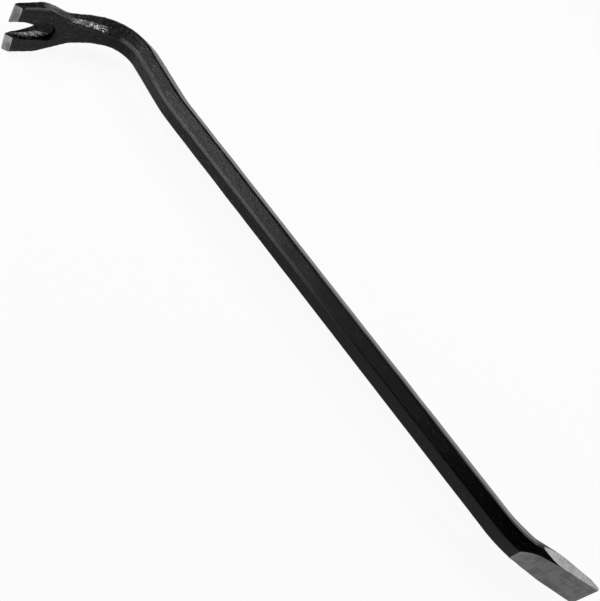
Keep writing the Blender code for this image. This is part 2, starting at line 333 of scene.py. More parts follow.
@dataclass
class CentreLine:
    """The bar's centre line, from the chisel's edge to the ends of the prongs."""

    chisel_angle: float = 21.5
    chisel_length: float = 51.5 * MM
    chisel_radius: float = 100.0 * MM
    shank_length: float = 413.0 * MM
    reverse_angle: float = 8.0
    reverse_radius: float = 122.0 * MM
    gooseneck_length: float = 47.0 * MM
    claw_angle: float = 82.0
    claw_radius: float = 39.0 * MM
    claw_length: float = 72.8 * MM
    step: float = 1.1 * MM
    distance: np.ndarray = field(init=False)
    points: np.ndarray = field(init=False)
    headings: np.ndarray = field(init=False)

    def __post_init__(self) -> None:
        """Works out the stations.

        Along each run the heading changes evenly with distance. Between two stations the line is an arc,
        whose chord is the arc's length times sin(h) / h, h being half the angle turned, and points in the
        middle heading. The stations are the running sum of those chords.
        """
        runs = (
            Run(self.chisel_length),
            bend(self.chisel_radius, -self.chisel_angle),
            Run(self.shank_length),
            bend(self.reverse_radius, -self.reverse_angle),
            Run(self.gooseneck_length),
            bend(self.claw_radius, self.reverse_angle + self.claw_angle),
            Run(self.claw_length),
        )
        knots = np.concatenate([[0.0], np.cumsum([run.length for run in runs])])
        turned = np.concatenate([[0.0], np.cumsum([run.turn for run in runs])])
        even = np.linspace(0.0, knots[-1], round(knots[-1] / self.step) + 1)
        gap = self.step / 4
        clear = np.abs(even[:, None] - knots[None, :]).min(axis=1) > gap
        self.distance = np.sort(np.concatenate([even[clear], knots]))
        self.headings = math.pi + math.radians(self.chisel_angle) + np.interp(self.distance, knots, turned)
        half = np.diff(self.headings) / 2
        chords = np.diff(self.distance) * np.sinc(half / math.pi)
        middle = self.headings[:-1] + half
        steps = np.stack([np.cos(middle), np.sin(middle), np.zeros_like(middle)], axis=1) * chords[:, None]
        self.points = np.concatenate([np.zeros((1, 3)), np.cumsum(steps, axis=0)])

    def fronts(self) -> np.ndarray:
        """The front direction at every station: the heading turned a quarter to the left."""
        level = np.zeros_like(self.headings)
        return np.stack([-np.sin(self.headings), np.cos(self.headings), level], axis=1)

    def end_frame(self, end: End) -> LocalFrame:
        """The axes of one worked end.

        Args:
            end: which end.

        Returns:
            Its own axes, from its outermost point on the centre line.
        """
        k = 0 if end is End.CHISEL else -1
        heading = self.headings[k]
        ahead = np.array([math.cos(heading), math.sin(heading), 0.0])
        into = ahead if end is End.CHISEL else -ahead
        return LocalFrame(self.points[k], into, self.fronts()[k])


@dataclass
class Stock:
    """The hexagon bar that the crowbar is forged from."""

    across_flats: float = 22.0 * MM

    def hexagon(self) -> Sizes:
        """The plain bar's section, in the order of Column."""
        corner, half = self.across_flats / math.sqrt(3), self.across_flats / 2
        return (corner, 0.0, corner / 2, half, corner / 2, half)


@dataclass
class Claw:
    """The flat, slotted end. Distances are from the ends of the prongs."""

    width: float = 45.4 * MM
    front: float = 4.1 * MM
    tip_back: float = 2.9 * MM
    root_back: float = 5.1 * MM
    parallel_length: float = 25.0 * MM
    shoulder_at: float = 41.0 * MM
    shoulder: Sizes = mm(17.7, -1.4, 17.0, 5.5, 17.0, 7.8)
    neck_at: float = 57.0 * MM
    neck: Sizes = mm(13.2, -3.2, 10.6, 7.2, 10.6, 6.4)
    bend_at: float = 87.0 * MM
    bend: Sizes = mm(12.6, -2.2, 7.0, 11.8, 6.0, 9.0)
    hook_at: float = 108.0 * MM
    hook: Sizes = mm(12.6, -2.4, 6.35, 11.2, 5.7, 10.7)
    forging_length: float = 150.0 * MM
    mouth_width: float = 12.4 * MM
    slot_depth: float = 28.8 * MM
    fullness: float = 2.0
    bluntness: float = 0.9
    slot_offset: float = -1.2 * MM
    land_top: float = -2.0 * MM
    dish_top: float = 0.8 * MM
    recess_width: float = 17.8 * MM
    recess_length: float = 41.5 * MM
    recess_fullness: float = 8.0
    recess_bluntness: float = 0.5
    recess_offset: float = 0.3 * MM
    recess_lean: float = -0.04
    lower_pinch: float = 1.9 * MM
    slope_length: float = 15.0 * MM
    recess_top: float = 4.1 * MM
    lip: float = 0.5 * MM
    lip_turn: float = 55.0
    inside_steps: int = 60
    outside_steps: int = 12
    dish_steps: int = 12
    upright_steps: int = 6
    lip_steps: int = 5
    tip_land: float = 1.5 * MM
    tip_land_front: float = 0.3 * MM
    tip_front_slope: float = 40.0
    tip_back_slope: float = 20.0
    tip_rake: float = 3.0
    tip_setback: float = 1.2 * MM
    reach: float = 20.0 * MM

    def sections(self, hexagon: Sizes) -> Sections:
        """The key sections from the prongs to the plain bar.

        Args:
            hexagon: the plain bar's section.

        Returns:
            The sections, by distance from the ends of the prongs.
        """
        half = self.width / 2
        tip = (half, 0.0, half, self.front, half, self.tip_back)
        root = (half, 0.0, half, self.front, half, self.root_back)
        ends = (self.bend_at, self.hook_at, self.forging_length)
        keys = (0.0, self.parallel_length, self.shoulder_at, self.neck_at, *ends)
        return Sections(keys, (tip, root, self.shoulder, self.neck, self.bend, self.hook, hexagon))

    def outline(self, width: float, length: float, fullness: float, bluntness: float) -> np.ndarray:
        """Half an outline of the slot, as (distance in, half width) from outside the mouth to its root.

        The half width is that of the mouth times 1 minus the share of the length to the power of fullness,
        all to the power of bluntness. The shares follow a sine, so that they lie closer towards the root.

        Args:
            width: the full width at the mouth.
            length: the distance in of the root.
            fullness: how late the outline starts to narrow.
            bluntness: how round its root is, 1 being pointed.

        Returns:
            An array of points by 2.
        """
        share = np.sin(np.linspace(0.0, math.pi / 2, self.inside_steps + 1))
        inside = np.stack([length * share, width / 2 * (1 - share**fullness) ** bluntness], axis=1)
        before = np.linspace(-self.reach, 0.0, self.outside_steps + 1)[:-1]
        outside = np.stack([before, np.full_like(before, width / 2)], axis=1)
        return np.concatenate([outside, inside])

    def slot_ring(self, front: float, out: float) -> np.ndarray:
        """One level of the slot cutter.

        The walls follow a dish between the slot's and the recess's outlines: its spread is the root of 1
        minus the square of 1 minus the rise, the rise being the share of the dish's height. Towards the
        mouth a plain slope takes over, whose spread is its own share of the height. The slot was punched a
        little below the middle, the recess leans down on its way in, and its lower wall is pinched in at
        the mouth.

        Args:
            front: the level's front coordinate.
            out: how far the lip leads outwards at this level.

        Returns:
            An array of points by 3, as (distance in, front, across).
        """
        rise = np.clip((front - self.land_top) / (self.dish_top - self.land_top), 0.0, 1.0)
        slope = np.clip((front - self.tip_land_front) / (self.front - self.tip_land_front), 0.0, 1.0)
        dished = math.sqrt(1 - (1 - rise) ** 2)
        inner = self.outline(self.mouth_width, self.slot_depth, self.fullness, self.bluntness)
        rounding = (self.recess_fullness, self.recess_bluntness)
        rim = self.outline(self.recess_width, self.recess_length, *rounding)
        plain = np.clip(1 - np.maximum(inner[:, 0], 0.0) / self.slope_length, 0.0, 1.0)
        spread = (dished * (1 - plain) + slope * plain)[:, None]
        walls = []
        for side in (1, -1):
            outer = rim.copy()
            if side < 0:
                outer[:, 1] -= self.lower_pinch * (1 - smooth_step(rim[:, 0] / self.slope_length))
            punched = np.stack([inner[:, 0], self.slot_offset + side * inner[:, 1]], axis=1)
            axis = self.recess_offset + self.recess_lean * rim[:, 0]
            pressed = np.stack([outer[:, 0], axis + side * outer[:, 1]], axis=1)
            wall = punched * (1 - spread) + pressed * spread
            run = np.gradient(wall, axis=0)
            away = side * np.stack([-run[:, 1], run[:, 0]], axis=1)
            wall = wall + out * away / np.linalg.norm(away, axis=1, keepdims=True)
            walls.append(np.stack([wall[:, 0], np.full(len(wall), front), wall[:, 1]], axis=1))
        return np.concatenate([walls[0], walls[1][-2::-1]])

    def slot_cutter(self, end: LocalFrame) -> bpy.types.Object:
        """The nail slot: upright walls at the back, then a dish, upright again, then a rounded lip.

        Args:
            end: the claw's axes.

        Returns:
            The cutter.
        """
        swing = np.linspace(0, math.pi / 2, self.dish_steps + 1)
        dish = self.land_top + (self.dish_top - self.land_top) * (1 - np.cos(swing))
        upright = np.linspace(self.dish_top, self.recess_top - self.lip, self.upright_steps + 1)[1:]
        turns = np.linspace(0, math.radians(self.lip_turn), self.lip_steps + 1)[1:]
        lip = self.recess_top - self.lip * (1 - np.sin(turns))
        rings = [self.slot_ring(front, 0.0) for front in np.concatenate([dish, upright])]
        rings += [self.slot_ring(front, self.lip * (1 - math.cos(turn))) for front, turn in zip(lip, turns)]
        below = rings[0].copy()
        below[:, 1] = -self.reach
        above = rings[-1] + (rings[-1] - rings[-2]) * (self.reach / self.lip)
        places = end.place(np.stack([below, *rings, above]))
        return closed_loft("nail_slot_cutter", places, Finish.ENAMEL, SLOT_CHART_START)

    def prong_cutter(self, end: LocalFrame, side: int) -> bpy.types.Object:
        """The grinding of one prong's end: a steep front bevel, a narrow land and a low back bevel.

        Args:
            end: the claw's axes.
            side: 1 for the upper prong, -1 for the lower.

        Returns:
            The cutter.
        """
        back = self.tip_land_front - self.tip_land
        far = self.reach
        front_run = far / math.tan(math.radians(self.tip_front_slope))
        profile = np.array(
            [
                (front_run, self.tip_land_front + far),
                (0.0, self.tip_land_front),
                (0.0, back),
                (far, back - far * math.tan(math.radians(self.tip_back_slope))),
                (far, -2 * far),
                (-far, -2 * far),
                (-far, self.tip_land_front + far),
            ]
        )
        across = np.array([self.slot_offset, self.width])
        rake = math.tan(math.radians(self.tip_rake))
        shift = self.tip_setback + (across - self.mouth_width / 2) * rake
        rings = np.zeros((2, len(profile), 3))
        rings[:, :, 0] = profile[None, :, 0] + shift[:, None]
        rings[:, :, 1] = profile[None, :, 1]
        rings[:, :, 2] = side * across[:, None]
        name = "upper_prong_cutter" if side > 0 else "lower_prong_cutter"
        return closed_loft(name, end.place(rings), Finish.PRONG_STEEL)


@dataclass
class Chisel:
    """The ground, bent end. Distances are from the cutting edge."""

    edge_width: float = 28.8 * MM
    edge_front: float = 1.3 * MM
    edge_back: float = 1.0 * MM
    side_slope: float = 1.3
    front_slope: float = 5.1
    back_slope: float = 20.0
    grind_flat: float = 50.0 * MM
    runout_radius: float = 41.0 * MM
    runout_length: float = 30.0 * MM
    runout_steps: int = 40
    side_stock: float = 0.6 * MM
    tip_front: float = 4.6 * MM
    tip_back: float = 3.4 * MM
    root_at: float = 32.0 * MM
    root: Sizes = mm(15.85, 0.0, 10.4, 10.4, 14.0, 5.8)
    shoulder_at: float = 50.5 * MM
    shoulder: Sizes = mm(13.75, -2.0, 10.2, 11.0, 11.0, 7.0)
    waist_at: float = 57.0 * MM
    waist: Sizes = mm(12.9, -0.6, 8.0, 11.0, 7.7, 9.2)
    forging_length: float = 66.0 * MM
    reach: float = 20.0 * MM

    def sections(self, hexagon: Sizes) -> Sections:
        """The key sections from the cutting edge to the plain bar, before grinding.

        Args:
            hexagon: the plain bar's section.

        Returns:
            The sections, by distance from the cutting edge.
        """
        half = self.edge_width / 2 + self.side_stock
        tip = (half, 0.0, half, self.tip_front, half, self.tip_back)
        keys = (0.0, self.root_at, self.shoulder_at, self.waist_at, self.forging_length)
        return Sections(keys, (tip, self.root, self.shoulder, self.waist, hexagon))

    def across_cutter(self, name: str, end: LocalFrame, profile: np.ndarray) -> bpy.types.Object:
        """A cutter that runs straight across the chisel.

        Args:
            name: the cutter's name.
            end: the chisel's axes.
            profile: its outline, as (distance in, front) points.

        Returns:
            The cutter.
        """
        rings = np.zeros((2, len(profile), 3))
        rings[:, :, :2] = profile
        rings[:, :, 2] = np.array([-self.edge_width, self.edge_width])[:, None]
        return closed_loft(name, end.place(rings), Finish.CHISEL_STEEL)

    def front_cutter(self, end: LocalFrame) -> bpy.types.Object:
        """The long front grind: a plane, then an arc of the grinding wheel's radius up to the bar's face.

        Args:
            end: the chisel's axes.

        Returns:
            The cutter.
        """
        slope = math.tan(math.radians(self.front_slope))
        past = np.linspace(0.0, self.runout_length, self.runout_steps + 1)
        swell = self.runout_radius - np.sqrt(self.runout_radius**2 - past**2)
        inward = self.grind_flat + past
        face = np.stack([inward, self.edge_front + inward * slope + swell], axis=1)
        start = (-self.reach, self.edge_front - self.reach * slope)
        top = 2 * self.reach
        profile = np.concatenate([[start], face, [(inward[-1], top), (-self.reach, top)]])
        return self.across_cutter("chisel_front_cutter", end, profile)

    def back_cutter(self, end: LocalFrame) -> bpy.types.Object:
        """The short bevel at the back of the cutting edge.

        Args:
            end: the chisel's axes.

        Returns:
            The cutter.
        """
        far = self.reach
        slope = math.tan(math.radians(self.back_slope))
        profile = np.array(
            [
                (-far, -self.edge_back + far * slope),
                (2 * far, -self.edge_back - 2 * far * slope),
                (-far, -self.edge_back - 2 * far * slope),
            ]
        )
        return self.across_cutter("chisel_back_cutter", end, profile)

    def side_cutter(self, end: LocalFrame, side: int) -> bpy.types.Object:
        """The grinding of one side of the blade, a plane that leans in slightly towards the bar.

        Args:
            end: the chisel's axes.
            side: 1 for the upper side, -1 for the lower.

        Returns:
            The cutter.
        """
        far = self.reach
        lean = math.tan(math.radians(self.side_slope))
        near = self.edge_width / 2 + far * lean
        length = self.forging_length + far
        away = near - length * lean
        inner, outer = length - far, near + far
        outline = np.array([(-far, near), (inner, away), (inner, outer), (-far, outer)])
        rings = np.zeros((2, 4, 3))
        rings[:, :, 0] = outline[:, 0]
        rings[:, :, 1] = np.array([-far, far])[:, None]
        rings[:, :, 2] = side * outline[:, 1]
        name = "chisel_upper_side_cutter" if side > 0 else "chisel_lower_side_cutter"
        return closed_loft(name, end.place(rings), Finish.CHISEL_STEEL)


@dataclass
class Forging:
    """The whole crowbar: one bent, forged and ground bar."""

    line: CentreLine = field(default_factory=CentreLine)
    stock: Stock = field(default_factory=Stock)
    claw: Claw = field(default_factory=Claw)
    chisel: Chisel = field(default_factory=Chisel)
    ring: RingShape = field(default_factory=RingShape)
    rolled: Waves = Waves(0.05 * MM, 30 * MM, 12, 11)
    hammered: Waves = Waves(0.10 * MM, 5 * MM, 24, 12)
    hammered_length: float = 150 * MM
    shrink: float = 0.12 * MM
    edge_ease: float = 1.0 * MM
    side_edge_ease: float = 2.0 * MM
    hook_edge_ease: float = 2.0 * MM
    hook_from: float = 45.0 * MM
    hook_to: float = 175.0 * MM
    seam_weld: float = 0.01 * MM
    crease: float = 18.0

    def ease(self, from_claw: np.ndarray) -> np.ndarray:
        """How far the six corners are eased at each distance from the prongs.

        Past the claw, the side corners are rounder than the others. Round the hook, wear has made the
        front corners rounder, evenly over the middle half of that length and less and less towards its ends.

        Args:
            from_claw: distances from the ends of the prongs.

        Returns:
            An array of distances by corners.
        """
        fade = 1.0 - np.abs(from_claw * 2 - self.hook_from - self.hook_to) / (self.hook_to - self.hook_from)
        eased = np.full((len(from_claw), CORNERS), self.edge_ease)
        past_claw = smooth_step((from_claw - self.hook_from) / self.claw.parallel_length)[:, None]
        eased[:, SIDE_CORNERS] += (self.side_edge_ease - self.edge_ease) * past_claw
        eased[:, FRONT_CORNERS] += (self.hook_edge_ease - self.edge_ease) * smooth_step(fade * 2)[:, None]
        return eased

    def blank(self) -> bpy.types.Object:
        """The forged blank before grinding.

        Each station's section is carried to its place on the centre line. Every point then moves along its
        section's outward normal by the rolled bar's waves, and near the claw by the hammer's waves too.

        Returns:
            The blank's object.
        """
        hexagon = self.stock.hexagon()
        distance = self.line.distance
        full = distance[-1]
        from_claw = full - distance
        chisel_sizes = self.chisel.sections(hexagon).at(distance)
        claw_sizes = self.claw.sections(hexagon).at(from_claw)
        sizes = np.where((distance < full / 2)[:, None], chisel_sizes, claw_sizes)
        rings = self.ring.rings(sizes, self.ease(from_claw))
        along = np.roll(rings, -1, axis=1) - np.roll(rings, 1, axis=1)
        out = np.stack([along[:, :, 1], -along[:, :, 0]], axis=2)
        out /= np.linalg.norm(out, axis=2, keepdims=True)
        up = np.array([0.0, 0.0, 1.0])
        fronts = self.line.fronts()[:, None]
        places = self.line.points[:, None] + rings[:, :, :1] * up + rings[:, :, 1:] * fronts
        normals = out[:, :, :1] * up + out[:, :, 1:] * fronts
        near_claw = 1 - smooth_step((from_claw / self.hammered_length - 0.5) * 2)
        heights = self.rolled.at(places) + self.hammered.at(places) * near_claw[:, None]
        claw_share = from_claw / self.claw.parallel_length
        chisel_share = distance / self.chisel.forging_length
        off_ends = smooth_step(np.minimum(claw_share, chisel_share))
        raised = places + normals * ((heights - self.shrink) * off_ends[:, None])[:, :, None]
        edge = self.ring.middle(UPPER_FRONT_CORNER)
        return closed_loft(PIECE, raised, Finish.ENAMEL, chart_zero=edge)

    def cutters(self) -> list[bpy.types.Object]:
        """What is ground and punched away.

        Returns:
            The cutters in working order.
        """
        claw_end = self.line.end_frame(End.CLAW)
        chisel_end = self.line.end_frame(End.CHISEL)
        return [
            self.chisel.front_cutter(chisel_end),
            self.chisel.side_cutter(chisel_end, 1),
            self.chisel.side_cutter(chisel_end, -1),
            self.chisel.back_cutter(chisel_end),
            self.claw.prong_cutter(claw_end, 1),
            self.claw.prong_cutter(claw_end, -1),
            self.claw.slot_cutter(claw_end),
        ]

    def cut(self, body: bpy.types.Object, tools: list[bpy.types.Object]) -> None:
        """Takes each tool's shape out of the body, closes the seam, and fixes the result in the mesh.

        Args:
            body: the blank.
            tools: the cutters, which are used up.
        """
        for tool in tools:
            taken = body.modifiers.new(tool.name, "BOOLEAN")
            taken.operation = "DIFFERENCE"
            taken.solver = "EXACT"
            taken.material_mode = "INDEX"
            taken.object = tool
            seam = body.modifiers.new(f"{tool.name}_seam", "WELD")
            seam.merge_threshold = self.seam_weld
        bpy.context.view_layer.update()
        finished = body.evaluated_get(bpy.context.evaluated_depsgraph_get())
        shape = bpy.data.meshes.new_from_object(finished)
        body.modifiers.clear()
        body.data = shape
        for tool in tools:
            bpy.data.objects.remove(tool)

    def seat(self, body: bpy.types.Object) -> None:
        """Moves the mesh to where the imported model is: the chisel's edge fills the same corner of the box.

        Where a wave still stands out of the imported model's box, it is held to the box's side.

        Args:
            body: the finished forging.
        """
        low, high = (np.array(corner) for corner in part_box(CAD_NODE))
        places = np.zeros(len(body.data.vertices) * 3)
        body.data.vertices.foreach_get("co", places)
        places = places.reshape(-1, 3)
        move = high - places.max(axis=0)
        move[2] = (low[2] + high[2]) / 2
        body.data.vertices.foreach_set("co", np.clip(places + move, low, high).ravel())
        body.data.update()

    def build(self) -> bpy.types.Object:
        """Forges, grinds, seats and dresses the bar.

        Returns:
            The bar's object.
        """
        body = self.blank()
        self.cut(body, self.cutters())
        self.seat(body)
        body.data.shade_smooth()
        body.data.set_sharp_from_angle(angle=math.radians(self.crease))
        self.dress(body)
        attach(body, "root")
        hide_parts(CAD_NODE)
        return body

    def dress(self, body: bpy.types.Object) -> None:
        """Gives the bar its three finishes, in the order of Finish.

        Args:
            body: the finished forging.
        """
        looks = {
            Finish.ENAMEL: BlackEnamel(),
            Finish.CHISEL_STEEL: GroundSteel("ground_chisel_steel", (0.05, 1.3), (0.1, 4.0)),
            Finish.PRONG_STEEL: PaleGroundSteel("ground_prong_steel", (0.1, 1.3), (0.2, 4.0)),
        }
        for finish, look in looks.items():
            body.data.materials[finish.value] = look.material()


@dataclass(frozen=True)
class Patch:
    """A patch of the chart, in millimetres: where it starts, is full, is still full and ends, each way."""

    along: tuple[float, float, float, float]
    round_it: tuple[float, float, float, float]
    share: float = 1.0


class Value:
    """A shader socket that can be used in arithmetic."""

    def __init__(self, nodes: "Shader", socket: bpy.types.NodeSocket) -> None:
        """Wraps one output socket."""
        self.nodes = nodes
        self.socket = socket

    def math(self, operation: str, first: Input, second: Input) -> "Value":
        """The result of one Math node."""
        made = self.nodes.add("ShaderNodeMath", {"operation": operation}, {0: first, 1: second})
        return Value(self.nodes, made.outputs[0])

    def __add__(self, other: Input) -> "Value":
        """This plus the other."""
        return self.math("ADD", self, other)

    def __sub__(self, other: Input) -> "Value":
        """This minus the other."""
        return self.math("SUBTRACT", self, other)

    def __rsub__(self, other: Input) -> "Value":
        """The other minus this."""
        return self.math("SUBTRACT", other, self)

    def __mul__(self, other: Input) -> "Value":
        """This times the other."""
        return self.math("MULTIPLY", self, other)

    __radd__ = __add__
    __rmul__ = __mul__


class Shader:
    """A material's nodes, with its Principled shader and its coordinates at hand."""

    def __init__(self, name: str) -> None:
        """Starts a material with nothing but its shader and its output.

        Args:
            name: the material's name.
        """
        self.material = bpy.data.materials.new(name)
        self.material.use_nodes = True
        self.tree = self.material.node_tree
        self.surface = self.tree.nodes["Principled BSDF"]
        self.place = self.add("ShaderNodeTexCoord", {}, {}).outputs["Object"]

    def add(self, kind: str, settings: dict[str, str], values: dict[str | int, Input]) -> bpy.types.Node:
        """Any node.

        Args:
            kind: the node's type.
            settings: its properties, set first.
            values: a number, vector, socket or Value for each of its inputs, by name or position.

        Returns:
            The node.
        """
        made = self.tree.nodes.new(kind)
        for name, setting in settings.items():
            setattr(made, name, setting)
        for key, value in values.items():
            self.put(made.inputs[key], value)
        return made

    def put(self, target: bpy.types.NodeSocket, value: Input) -> None:
        """Gives an input a constant or a link.

        Args:
            target: the input.
            value: what it gets.
        """
        source = value.socket if isinstance(value, Value) else value
        if isinstance(source, bpy.types.NodeSocket):
            self.tree.links.new(source, target)
        else:
            target.default_value = source

    def noise(self, scale: float, detail: float, at: Input | None = None) -> Value:
        """Noise between 0 and 1.

        Args:
            scale: its cells per unit of the coordinates.
            detail: how many finer layers it has.
            at: its coordinates, which are otherwise the object's, in metres.

        Returns:
            The noise.
        """
        where = self.place if at is None else at
        values = {"Vector": where, "Scale": scale, "Detail": detail}
        return Value(self, self.add("ShaderNodeTexNoise", {}, values).outputs["Fac"])

    def charted(self, along: float, round_it: float) -> bpy.types.NodeSocket:
        """The chart's coordinates, scaled.

        Args:
            along: cells per millimetre along the body.
            round_it: cells per millimetre round it.

        Returns:
            The scaled coordinates.
        """
        chart = self.add("ShaderNodeUVMap", {"uv_map": CHART}, {}).outputs[0]
        scale = (along, round_it, 1.0)
        return self.add("ShaderNodeVectorMath", {"operation": "MULTIPLY"}, {0: chart, 1: scale}).outputs[0]

    def fade(self, value: Input, start: float, full: float) -> Value:
        """Rises smoothly from 0 to 1.

        Args:
            value: what it depends on.
            start: the value at which it starts to rise.
            full: the value at which it is full.

        Returns:
            The risen share.
        """
        ends = {0: value, 1: start, 2: full, 3: 0.0, 4: 1.0}
        made = self.add("ShaderNodeMapRange", {"interpolation_type": "SMOOTHSTEP"}, ends)
        return Value(self, made.outputs[0])

    def way(self, axis: int) -> bpy.types.NodeSocket:
        """One coordinate of the chart: 0 is along the body, 1 is round it."""
        chart = self.add("ShaderNodeUVMap", {"uv_map": CHART}, {}).outputs[0]
        return self.add("ShaderNodeSeparateXYZ", {}, {0: chart}).outputs[axis]

    def inside(self, value: Input, ends: tuple[float, ...]) -> Value:
        """Rises to 1 between the first two ends, and falls back to 0 between the last two."""
        return self.fade(value, *ends[:2]) * (1 - self.fade(value, *ends[2:]))

    def patches(self, *patches: Patch) -> Value:
        """How far a point is inside some patches of the chart.

        Args:
            patches: the patches, which don't overlap where they are full.

        Returns:
            The sum over the patches, each of which gives its share inside it and 0 outside.
        """
        along, round_it = self.way(0), self.way(1)
        first, *others = (
            self.inside(along, patch.along) * self.inside(round_it, patch.round_it) * patch.share
            for patch in patches
        )
        return sum(others, first)

    def mix(self, share: Value, low: Input, high: Input) -> bpy.types.NodeSocket:
        """A colour between two."""
        made = self.add("ShaderNodeMix", {"data_type": "RGBA"}, {0: share, 6: low, 7: high})
        return made.outputs[2]

    def bump(self, height: Value, depth: float, strength: float) -> bpy.types.NodeSocket:
        """A normal that follows the height, whose full range is the depth."""
        values = {"Height": height, "Distance": depth, "Strength": strength}
        return self.add("ShaderNodeBump", {}, values).outputs["Normal"]

    def set(self, **values: Input) -> None:
        """Sets the shader's inputs, each named with underscores for its spaces."""
        for name, value in values.items():
            self.put(self.surface.inputs[name.replace("_", " ")], value)


@dataclass(frozen=True)
class BlackEnamel:
    """A dipped coat of black enamel over forge scale.

    It has orange peel and rolling streaks along the bar, which are strong towards the claw and faint
    towards the chisel, and pits on the upper side of the hook and the neck. On the neck and in the nail
    recess a painted highlight is laid on as small flakes of pale metal, and along the upper front edge a
    painted highlight is laid on as streaky grey. A patch's way round the bar is counted from that edge.
    The recess has its own chart, from SLOT_CHART_START on.
    """

    base: Colour = (0.002, 0.002, 0.002, 1.0)
    # The pale metal of the painted highlight: flakes laid on the neck and in the nail recess.
    painted_highlight_metal: Colour = (0.50, 0.50, 0.50, 1.0)
    smoothest: float = 0.18
    roughness_range: float = 0.10
    specular: float = 0.15
    peel_scale: float = 900.0
    peel_detail: float = 2.0
    fine_detail: float = 3.0
    flake_detail: float = 4.0
    streaks: tuple[float, float] = (0.13, 0.60)
    streak_share: float = 0.6
    calm: float = 0.25
    rough_from: tuple[float, float] = (280.0, 480.0)
    pit_scale: float = 420.0
    pit_depth: float = 2.5
    pitted: Patch = Patch((560.0, 590.0, 650.0, 665.0), (-15.0, -14.0, 0.0, 3.0))
    patch_scale: float = 60.0
    flakes: tuple[float, float] = (0.22, 0.75)
    flake_edges: tuple[float, float] = (0.40, 0.60)
    # Where the painted highlight flakes lie: two patches on the neck and one on the recess's lower wall.
    painted_highlight: tuple[Patch, ...] = (
        Patch((620.0, 630.0, 646.0, 652.0), (-7.5, -5.0, -1.4, 0.4), 0.75),
        Patch((610.0, 617.0, 624.0, 632.0), (-7.0, -5.0, -1.0, 1.2), 1.0),
        Patch((1019.0, 1020.5, 1024.0, 1026.0), (68.0, 72.0, 96.0, 101.0)),
    )
    # The painted highlight along the upper front edge: its grey, a level added to its streaks, and its
    # patches on the shank, round the hook and on the claw.
    painted_edge_highlight_grey: Colour = (0.15, 0.15, 0.15, 1.0)
    painted_edge_highlight_base: float = 0.5
    painted_edge_highlight: tuple[Patch, ...] = (
        Patch((240.0, 430.0, 518.0, 548.0), (-1.6, -0.3, 1.1, 2.4)),
        Patch((518.0, 560.0, 588.0, 602.0), (-2.8, -0.8, 0.8, 2.2), 0.8),
        Patch((668.0, 674.0, 690.0, 694.0), (-1.2, -0.4, 0.4, 1.2), 0.7),
    )
    dust: Colour = (0.065, 0.065, 0.065, 1.0)
    dust_edges: tuple[float, float] = (0.56, 0.64)
    depth: float = 0.50 * MM

    def material(self) -> bpy.types.Material:
        """Makes the enamel.

        Returns:
            The material.
        """
        paint = Shader("black_enamel")
        peel = paint.noise(self.peel_scale, self.peel_detail)
        streaks = paint.noise(1.0, self.fine_detail, paint.charted(*self.streaks))
        skin = peel * (1 - self.streak_share) + streaks * self.streak_share
        rough = paint.fade(paint.way(0), *self.rough_from) * (1 - self.calm) + self.calm
        pits = paint.noise(self.pit_scale, self.flake_detail) * paint.patches(self.pitted) * self.pit_depth
        ragged = paint.noise(1.0, self.flake_detail, paint.charted(*self.flakes))
        # Painted highlight: ragged flakes of pale metal inside those patches.
        painted_highlight = paint.fade(ragged, *self.flake_edges) * paint.patches(*self.painted_highlight)
        # Painted highlight along the upper front edge, streaked.
        painted_edge_highlight = (streaks + self.painted_edge_highlight_base) * paint.patches(*self.painted_edge_highlight)
        dusty = paint.mix(paint.fade(skin, *self.dust_edges) * rough, self.base, self.dust)
        # Lays the painted edge highlight over the dusty enamel.
        dust_and_edge_highlight = paint.mix(painted_edge_highlight, dusty, self.painted_edge_highlight_grey)
        uneven = paint.noise(self.patch_scale, self.fine_detail)
        paint.set(
            # The painted highlight flakes take the pale metal colour and are metallic.
            Base_Color=paint.mix(painted_highlight, dust_and_edge_highlight, self.painted_highlight_metal),
            Metallic=painted_highlight,
            Roughness=uneven * self.roughness_range + self.smoothest,
            Specular_IOR_Level=self.specular,
            Normal=paint.bump(skin * rough + pits, self.depth, 1.0),
        )
        return paint.material


@dataclass(frozen=True)
class GroundSteel:
    """Bare steel with the marks of a grinding wheel, which are given in cells per millimetre of chart."""

    name: str
    marks: tuple[float, float]
    scratches: tuple[float, float]
    bright: Colour = (0.14, 0.14, 0.142, 1.0)
    dull: Colour = (0.075, 0.075, 0.077, 1.0)
    smoothest: float = 0.26
    roughness_range: float = 0.14
    tone_edges: tuple[float, float] = (0.38, 0.62)
    mark_detail: float = 2.0
    scratch_detail: float = 1.0
    scratch_share: float = 0.3
    patch_scale: float = 120.0
    patch_detail: float = 3.0
    patch_share: float = 0.5
    depth: float = 0.16 * MM
    strength: float = 0.7

    def material(self) -> bpy.types.Material:
        """Makes the steel.

        Returns:
            The material.
        """
        steel = Shader(self.name)
        marks = steel.noise(1.0, self.mark_detail, steel.charted(*self.marks))
        scratches = steel.noise(1.0, self.scratch_detail, steel.charted(*self.scratches))
        patches = steel.noise(self.patch_scale, self.patch_detail)
        tone = patches * self.patch_share + marks * (1 - self.patch_share)
        height = marks * (1 - self.scratch_share) + scratches * self.scratch_share
        steel.set(
            Base_Color=steel.mix(steel.fade(tone, *self.tone_edges), self.dull, self.bright),
            Metallic=1.0,
            Roughness=patches * self.roughness_range + self.smoothest,
            Normal=steel.bump(height, self.depth, self.strength),
        )
        return steel.material


@dataclass(frozen=True)
class PaleGroundSteel(GroundSteel):
    """Freshly ground steel, paler than the rest."""

    bright: Colour = (0.35, 0.35, 0.355, 1.0)
    dull: Colour = (0.14, 0.14, 0.142, 1.0)


